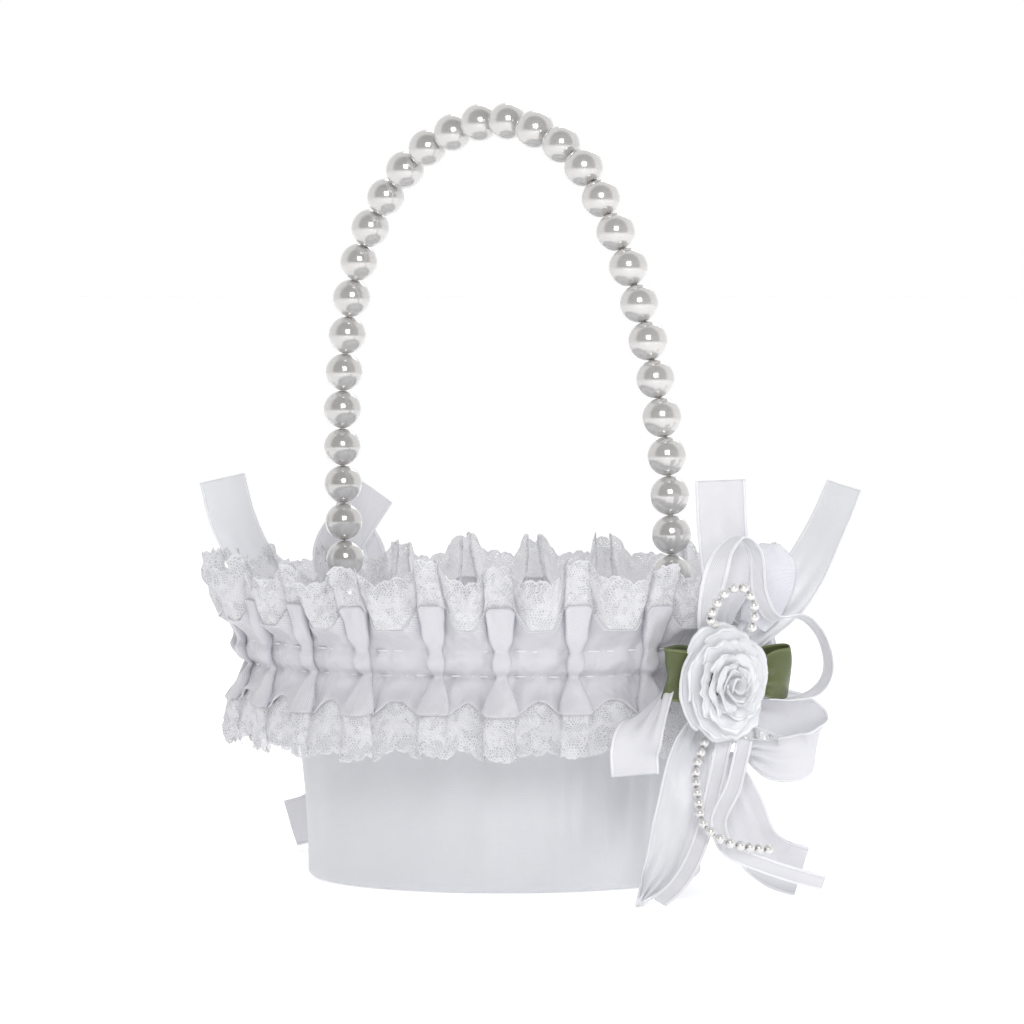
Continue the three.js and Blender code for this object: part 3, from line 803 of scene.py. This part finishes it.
# ---- Bows ----
# A bow is laid out at +X. The back bow is the same one turned nearly half way round Z, with its own tails.
# Each stop of a ribbon's route is (point, direction across the ribbon, share of its full width).
RIBBON_W = 10
NARROW_W = 3.2
PETAL_W = 11
PEARL_D = 2.0
PEARL_THREAD_R = 0.16
OFF_AXIS = (0.31, 0.22, 0.92)  # a direction that no strand runs along
LEAST_Z = 0.2                  # ribbons rest above the ground
ROUND = (0, 1, 0)
UPRIGHT = (0, 0, 1)
FACING = (0.6, 0.8, 0)
ROSE = (61.4, -6, 42)
ROSE_TURN = -0.24

UPRIGHT_TAIL = [
    ((60.2, -2.7, 81.5), FACING, 1), ((60.8, -2.7, 71), FACING, 1), ((61.9, -2.6, 62), FACING, 1)]
UPRIGHT_REST = [
    ((60, -2, 55), ROUND, 0.8), ((55.4, -0.8, 47.6), (0.2, 0.9, 0.4), 0.4),
    ((55, -5.4, 43.4), (0.2, 0.6, 0.8), 0.35), ((56.4, -13, 41.2), (0.5, 0.2, 0.84), 0.55),
    ((57.4, -20.5, 35.4), (0.9, 0.3, 0.3), 0.8), ((56.4, -23.4, 30), (0.5, 0.86, 0.1), 1),
    ((56.2, -23.2, 24.6), (0.42, 0.9, 0.15), 1)]
LEANING_TAIL = [
    ((71, 22.6, 80), (0.95, -0.15, -0.26), 1), ((68.6, 18.6, 70), (0.92, -0.05, -0.3), 1),
    ((65.4, 13, 59.5), (0.8, 0.45, -0.35), 0.9)]
LEANING_REST = [
    ((61.2, 6.5, 51.5), (0.4, 0.8, -0.45), 0.7), ((57, 0, 43), ROUND, 0.5),
    ((57.4, -5, 35), ROUND, 0.6), ((59, -10.5, 26.5), FACING, 0.85),
    ((60, -14.5, 17), (0.62, 0.7, -0.3), 0.95), ((61.5, -19.5, 9), (0.62, 0.6, -0.45), 0.85),
    ((63, -25.6, 3.8), (0.62, 0.6, -0.49), 0.5), ((64.4, -31, 0.9), (0.62, 0.6, -0.49), 0.12)]
BACK_UPRIGHT_TAIL = [
    ((62.2, -7.2, 76), (0.28, 0.95, 0.3), 1), ((62.3, -2, 69), (0.28, 0.9, 0.4), 1),
    ((62, 2.5, 61.5), (0.2, 0.9, 0.4), 1)]
BACK_LEANING_TAIL = [
    ((65.1, 28.1, 79), (0.2, 0.9, -0.3), 1), ((63, 26.6, 70), (0.2, 0.9, -0.3), 1),
    ((61.5, 21.4, 60.6), (0.2, 0.9, -0.4), 0.9)]
LOOPED = [
    ((58.2, 1.6, 40.5), (0, 0.5, 0.86), 0.5), ((61.6, 8, 36.6), UPRIGHT, 0.85),
    ((65.6, 14, 34.4), (0.15, -0.1, 1), 1), ((68.8, 16.6, 31.4), (0.35, -0.25, 0.9), 1),
    ((69.4, 13.6, 27.6), (0.3, 0, 0.95), 1), ((66.4, 7.4, 26.4), (0.2, 0.3, 0.93), 0.85),
    ((63, 2.6, 28), (0.5, 0.6, 0.6), 0.45), ((62.2, -1.5, 24.6), (0.66, 0.7, 0.25), 0.65),
    ((64, -0.8, 17.6), (0.68, 0.66, 0.3), 0.9), ((66.6, 0.9, 9.8), (0.64, 0.6, 0.45), 0.95),
    ((69.8, 3.6, 6.4), (0.58, 0.54, 0.61), 1), ((73.2, 6.8, 4.9), (0.58, 0.54, 0.61), 1)]
NARROW = [
    ((58.6, -3, 46), ROUND, 1), ((61, -7.6, 53), (0.4, 0.9, 0), 1.2),
    ((63.6, -8.6, 61.5), (0.7, 0.7, 0), 1.5), ((65, -6.8, 68), (0.95, 0.2, 0.2), 1.4),
    ((66, -3.4, 70.6), (1, 0, 0), 1.2), ((66.8, 0.2, 67.6), (1, 0.1, 0), 1),
    ((66.6, 1.8, 59.5), (0.9, 0.4, 0), 1), ((67.2, 5, 54.6), (0.95, 0.1, 0.3), 1),
    ((69, 11.4, 54.6), (0.95, 0, 0.2), 1), ((69.4, 17, 50.6), (0.95, -0.2, 0), 1),
    ((70.6, 18, 44), (0.95, -0.2, 0), 1), ((69.8, 15.4, 39.8), (0.95, -0.1, -0.2), 1),
    ((67, 10.4, 38.2), (0.95, -0.1, 0), 1), ((64.6, 6, 38.4), (0.95, -0.1, 0), 1)]
NARROW_TAIL = [
    ((63.4, -5, 31), FACING, 1), ((64.2, -9, 22), FACING, 1), ((64.8, -12.6, 13.9), FACING, 1),
    ((66, -18, 7.4), (0.62, 0.7, -0.2), 1), ((67.4, -24, 3.6), (0.66, 0.66, -0.35), 1),
    ((68.6, -30, 1.4), (0.66, 0.66, -0.35), 1)]
CROSSING_TAIL = [
    ((66.4, -2.4, 31), FACING, 1), ((67.6, -7.2, 22), FACING, 1),
    ((68, -12, 15.5), (0.62, 0.7, 0.2), 1), ((69.6, -11.4, 10.6), (0.5, 0.4, 0.75), 1),
    ((73, -4.6, 7), (0.38, 0.35, 0.85), 1), ((76.4, 2.4, 4.4), (0.38, 0.35, 0.85), 1),
    ((78.6, 7, 3), (0.38, 0.35, 0.85), 1)]
STRAND_LOOP = [
    (60.4, -1.6, 46.4), (61, -2, 49.2), (63, -6.4, 52.8), (64.8, -11, 55.2), (68, -9.6, 60.2),
    (69.4, -6.8, 61), (70, -4.4, 58.4), (69.8, -3.6, 55), (69, -3.4, 53)]
STRAND_TAIL = [
    (61.6, -9, 30.4), (62.4, -12.4, 25.4), (65, -14.6, 20), (67.6, -16, 15.4), (71, -14, 12.2),
    (73, -9.4, 10.8), (74.2, -4.4, 10)]
LEAF_LEFT = [
    ((57.6, -3, 43.4), UPRIGHT, 0.6), ((57.4, -9, 44.2), UPRIGHT, 1), ((57.6, -14.4, 44.4), UPRIGHT, 1),
    ((58.8, -16.9, 44.2), UPRIGHT, 1), ((60.5, -15.4, 43.8), UPRIGHT, 1), ((61, -11, 43), UPRIGHT, 1),
    ((60.6, -5, 42.4), UPRIGHT, 0.6)]
LEAF_RIGHT = [
    ((61, 1, 43.2), UPRIGHT, 0.6), ((61.2, 5, 43.8), UPRIGHT, 0.85), ((61.6, 10, 44.2), (0.1, 0, 1), 0.95),
    ((63.4, 12.8, 44), (0.1, 0, 1), 1), ((65.8, 11.6, 43.4), (0.1, 0, 1), 1),
    ((66.2, 7, 43), UPRIGHT, 0.95), ((64.8, 2.6, 42.4), UPRIGHT, 0.6)]
PETAL = [
    ((62.8, 4.2, 52.8), FACING, 0.5), ((63.4, 6.6, 57.4), FACING, 0.86), ((63.8, 7.8, 62.4), FACING, 1),
    ((64.2, 7.7, 66.4), FACING, 0.84), ((64.4, 7.8, 68.8), FACING, 0.36)]


BACK_ANGLE = math.pi - 0.245
BACK_SPIN = np.array([[math.cos(BACK_ANGLE), math.sin(BACK_ANGLE), 0],
                      [-math.sin(BACK_ANGLE), math.cos(BACK_ANGLE), 0], [0, 0, 1]])


def in_place(points, back):
    """Points of a bow laid out at +X, or turned to the back bow's side."""
    return points @ BACK_SPIN if back else points


def cloth_area(points):
    """Area in mm2 of a grid of points."""
    a = points[1:, :-1] - points[:-1, :-1]
    b = points[:-1, 1:] - points[:-1, :-1]
    return float(np.linalg.norm(np.cross(a, b), axis=-1).sum())


def ribbon(name, route, width, material, back=False, steps=150, gather=1.0, folds=3, crease=0.12,
           crease_end=None, curl=0.0, seed=1, thickness=0.22):
    """A ribbon along a route. Where its share of the width is below 1 it is gathered into lengthwise folds.

    crease is how deep its random creases are, changing to crease_end towards its end.
    """
    line = smooth([[*p, *a, share] for p, a, share in route], steps)
    middle, across, share = line[:, :3], line[:, 3:6], line[:, 6:7]
    along = unit(np.gradient(middle, axis=0))
    across = unit(across - (across * along).sum(1, keepdims=True) * along)
    out = np.cross(along, across)
    inner = np.linspace(-0.86, 0.86, 17)
    u = np.concatenate([[-1, -0.93], inner, [0.93, 1]])[None, :]
    run = run_of(middle)[:, None]
    depth = np.clip(1 - share, 0, 1) * width * 0.2 * gather
    fold = depth * np.cos(math.pi * folds * u + seed + 0.06 * run)
    bow = curl * width * (u * u - 0.35)
    late = np.clip(run / run[-1] * 3 - 1.2, 0, 1)
    deep = crease + ((crease if crease_end is None else crease_end) - crease) * late
    creases = deep * crumple(u * width / 2, run * 0.55, width * 1.1, seed)
    points = (middle[:, None] + across[:, None] * (u * width / 2 * share)[..., None]
              + out[:, None] * (fold + bow + creases)[..., None])
    points[..., 2] = np.maximum(points[..., 2], LEAST_Z)
    points = in_place(points, back)
    cloth = np.stack(np.broadcast_arrays(u * width / 2, run, (1 - np.abs(u)) * width / 2), axis=-1)
    piece = grid(name, points, material, cloth)
    thicken(piece, thickness)
    return piece, in_place(middle, back)


def wide_ribbon(name, slot, node, *args, held="folded", **settings):
    """A wide ribbon, made and placed."""
    piece, middle = ribbon(name, *args, **settings)
    place(piece, slot, *([node] if node else []))


def flat_cord(name, slot, node, *args, far_end="bare", **settings):
    """A narrow ribbon, made like the wide ones and placed."""
    piece, middle = ribbon(name, *args, **settings)
    place(piece, slot, node)


def pearl_strand(name, node, route, back=False):
    """Small drilled pearls on a thread."""
    line = in_place(smooth(route, 400), back)
    count = int(run_of(line)[-1] / (PEARL_D * 1.04))
    centres = resample(line, count)
    along = unit(np.gradient(centres, axis=0))
    points, faces = [], []
    sides, radius = 12, PEARL_D / 2
    lats = np.linspace(-1.2, 1.2, 9)
    profile = [(0.3, -0.55)] + [(radius * math.cos(t), radius * math.sin(t)) for t in lats] + [(0.3, 0.55)]
    for centre, axis in zip(centres, along):
        side, other = cross_axes(axis, OFF_AXIS)
        start = len(points)
        for r, h in profile:
            for j in range(sides):
                a = 2 * math.pi * j / sides
                points.append(centre + axis * h + r * (math.cos(a) * side + math.sin(a) * other))
        faces += grid_faces(len(profile), sides, closed=True, start=start)
    thread = resample(line, count * 2)
    axis = unit(np.gradient(thread, axis=0))
    start = len(points)
    for centre, way in zip(thread, axis):
        side, other = cross_axes(way, OFF_AXIS)
        points += [centre + PEARL_THREAD_R * (math.cos(a) * side + math.sin(a) * other)
                   for a in (0, 2.1, 4.2)]
    faces += grid_faces(len(thread), 3, closed=True, start=start)
    piece = make_mesh(name, points, faces, SMALL_PEARL)
    place(piece, "small_pearl", node)


def rose_petal(centre_angle, half_angle, base, rim, seed, curl, ruffle, overlap):
    """One petal in the rose's own axes, z out of its face. base and rim are (radius, height)."""
    s = np.linspace(-1, 1, 37)[None, :]
    v = np.linspace(0, 1, 22)[:, None]
    angle = centre_angle + s * half_angle * (0.7 + 0.3 * np.sin(v * math.pi * 0.6))
    outline = 1 - 0.2 * np.abs(s) ** 3
    radius = base[0] + (rim[0] - base[0]) * v ** 0.85 * outline + curl * v ** 5 + overlap * s * v
    height = base[1] + (rim[1] - base[1]) * np.sin(v * math.pi / 2) * outline - 0.5 * curl * v ** 7
    edge = v ** 1.4
    x, y = s * half_angle * rim[0], v * 8
    radius = (radius + ruffle * edge * crumple(x, y, 5.0, seed)
              + 0.35 * ruffle * edge * crumple(x, y, 2.2, seed + 50))
    height = height + 0.6 * ruffle * edge * crumple(x, y, 6.0, seed + 99)
    radius = np.maximum(radius, 0.05)
    points = np.stack([radius * np.cos(angle), radius * np.sin(angle), height], axis=-1)
    cloth = np.stack(np.broadcast_arrays(x, y, (1 - v) * 8), axis=-1)
    return points, cloth


ROSE_LAYERS = [
    # petals, base (radius, height), rim (radius, height), curl, ruffle, overlap, half angle
    (4, (3.0, 0.2), (9.4, 3.0), 1.2, 0.16, 0.7, 1.02),
    (5, (2.8, 1.0), (8.4, 5.0), 1.0, 0.22, 0.7, 0.84),
    (5, (2.6, 2.0), (6.9, 6.8), 0.8, 0.32, 0.7, 0.82),
    (4, (2.2, 2.8), (5.3, 7.8), 0.7, 0.40, 0.7, 0.95),
    (4, (1.8, 3.4), (3.9, 8.5), 0.5, 0.40, 0.7, 1.0),
    (3, (1.2, 3.8), (2.6, 8.8), 0.4, 0.35, 0.6, 1.25),
    (2, (0.6, 4.0), (1.3, 8.7), 0.2, 0.25, 0.3, 1.7),
]


def make_rose(name, node, back=False):
    """Overlapping folded petals of creased satin round a tight middle, as one piece."""
    points, faces, cloths, area = [], [], [], 0.0
    turn = np.array([[math.cos(ROSE_TURN), math.sin(ROSE_TURN), 0],
                     [-math.sin(ROSE_TURN), math.cos(ROSE_TURN), 0], [0, 0, 1]])
    draw = np.random.default_rng(31)
    for layer, (count, base, rim, curl, ruffle, overlap, half) in enumerate(ROSE_LAYERS):
        for k in range(count):
            spin = 2 * math.pi * (k + 0.37 * layer) / count + draw.uniform(-0.12, 0.12)
            grown = draw.uniform(0.94, 1.06)
            edge = (rim[0] * grown, rim[1] * draw.uniform(0.93, 1.05))
            seed = int(draw.integers(1000))
            petal, cloth = rose_petal(spin, half, base, edge, seed, curl * draw.uniform(0.6, 1.3), ruffle,
                                      overlap)
            area += cloth_area(petal)
            # its z faces outwards along +X, its x goes down and its y round the tub
            local = np.stack([petal[..., 2], petal[..., 1], petal[..., 0] * -1.14], axis=-1)
            world = local @ turn + np.array(ROSE)
            start = sum(len(p) for p in points)
            rows, columns = petal.shape[:2]
            faces += grid_faces(rows, columns, start=start)
            points.append(in_place(world.reshape(-1, 3), back))
            cloths.append(cloth.reshape(-1, 3))
    piece = make_mesh(name, np.vstack(points), faces, ROSE_SATIN, np.vstack(cloths))
    thicken(piece, 0.2)
    place(piece, "rose_satin", node)


def make_bow(side, upright_tail, leaning_tail, back=False):
    wide_ribbon(side + "_upright", "ribbon_satin", side + "_upright_ribbon",
                upright_tail + UPRIGHT_REST, RIBBON_W, BOW_SATIN, back=back, seed=3, crease=0.12, curl=0.03)
    wide_ribbon(side + "_leaning", "ribbon_satin", side + "_leaning_ribbon",
                leaning_tail + LEANING_REST, RIBBON_W, GLOSSY_SATIN, back=back, seed=5, crease=0.12,
                crease_end=0.5, curl=0.05, steps=200)
    wide_ribbon(side + "_looped", "ribbon_satin", side + "_looped_ribbon",
                LOOPED, RIBBON_W, BOW_SATIN, back=back, seed=8, steps=200, crease=0.2, curl=0.04)
    flat_cord(side + "_narrow", "narrow_satin", side + "_narrow_ribbon", NARROW, NARROW_W, BOW_SATIN,
              back=back, seed=11, steps=200, crease=0.03, far_end="object")
    pearl_strand(side + "_strand", side + "_pearl_strand", STRAND_LOOP, back)
    for way, node, route, seed, crease in (("left", side + "_leaf_ribbon", LEAF_LEFT, 13, 0.4),
                                           ("right", None, LEAF_RIGHT, 17, 0.45)):
        wide_ribbon(side + "_leaf_" + way, "leaf_satin", node, route, RIBBON_W, LEAF_SATIN,
                    back=back, seed=seed, crease=crease, thickness=0.25, steps=90, curl=0.08)
    make_rose(side + "_satin_rose", side + "_rose", back)


def make_bows():
    make_bow("front", UPRIGHT_TAIL, LEANING_TAIL)
    flat_cord("front_tail", "narrow_satin", "front_narrow_tail", NARROW_TAIL, NARROW_W, BOW_SATIN,
              seed=19, steps=120, crease=0.05, curl=0.03)
    flat_cord("front_crossing", "narrow_satin", "front_crossing_tail", CROSSING_TAIL, NARROW_W, BOW_SATIN,
              seed=23, steps=120, crease=0.05, curl=0.03)
    pearl_strand("front_strand_end", "front_strand_tail", STRAND_TAIL)
    wide_ribbon("front_petal", "organza", "front_organza_petal", PETAL, PETAL_W, ORGANZA, held="gathered",
                seed=29, gather=0, crease=0.25, curl=0.1, thickness=0.12, steps=80)
    make_bow("back", BACK_UPRIGHT_TAIL, BACK_LEANING_TAIL, back=True)


# ---- Floor and light ----
WORLD_LIGHT = 0.95
WORLD_FRONT = 0.22             # dimmer towards FRONT
FRONT = (0.65, -0.70, 0.30)
FLOOR_SIZE = 15.0
FLOOR_DROP = 0.0002


def make_floor():
    size = FLOOR_SIZE
    corners = [(-size, -size, 0), (size, -size, 0), (size, size, 0), (-size, size, 0)]
    mesh = bpy.data.meshes.new("floor")
    mesh.from_pydata(corners, [], [(0, 1, 2, 3)])
    n = Nodes("floor")
    n.colour(n.mix(n.noise(n.place_vector(), 3, 2), (0.93, 0.93, 0.935), (0.95, 0.95, 0.95)))
    n.set(roughness=0.6, specular_ior_level=0.2, emission_strength=0.38, emission_color=WHITE)
    mesh.materials.append(n.owner)
    floor = bpy.data.objects.new("floor", mesh)
    floor.location.z = -FLOOR_DROP
    bpy.context.scene.collection.objects.link(floor)


def make_world():
    """Even light, dimmer from the front, on a white that only the camera sees."""
    n = Nodes("studio", bpy.data.worlds, "Background")
    bpy.context.scene.world = n.owner
    dot = n.node("ShaderNodeVectorMath", operation="DOT_PRODUCT")
    dot.inputs[1].default_value = FRONT
    n.link(n.node("ShaderNodeTexCoord").outputs["Generated"], dot.inputs[0])
    level = n.ramp(dot.outputs["Value"], 0.12, 0.5, WORLD_LIGHT, WORLD_FRONT)
    seen = n.node("ShaderNodeLightPath").outputs["Is Camera Ray"]
    n.link(n.math("MAXIMUM", seen, level), n.shader.inputs["Strength"])
    n.set(color=WHITE)


LIGHT_AIM_Z = 0.06


def make_light(name, azimuth, elevation, distance, size, power, glossy=True):
    """An area light facing the basket, in metres, degrees and watts."""
    a, e = math.radians(azimuth), math.radians(elevation)
    away = Vector((math.sin(a) * math.cos(e), -math.cos(a) * math.cos(e), math.sin(e)))
    data = bpy.data.lights.new(name, "AREA")
    data.size = size
    data.energy = power
    light = bpy.data.objects.new(name, data)
    light.location = away * distance + Vector((0, 0, LIGHT_AIM_Z))
    light.rotation_euler = away.to_track_quat("Z", "Y").to_euler()
    light.visible_glossy = glossy
    bpy.context.scene.collection.objects.link(light)


make_bows()
make_tub()
make_beads()
make_trim()
make_floor()
make_world()
make_light("key", CAMERA_AZIMUTH + 4, 26, distance=1.0, size=0.40, power=3.9)
make_light("side", CAMERA_AZIMUTH - 75, 35, distance=1.2, size=0.5, power=1.6, glossy=False)
make_light("right", CAMERA_AZIMUTH + 60, 20, distance=1.2, size=0.6, power=3.2, glossy=False)
make_light("behind", CAMERA_AZIMUTH + 165, 40, distance=1.2, size=0.6, power=2.5)
bpy.context.scene.view_settings.view_transform = "Standard"
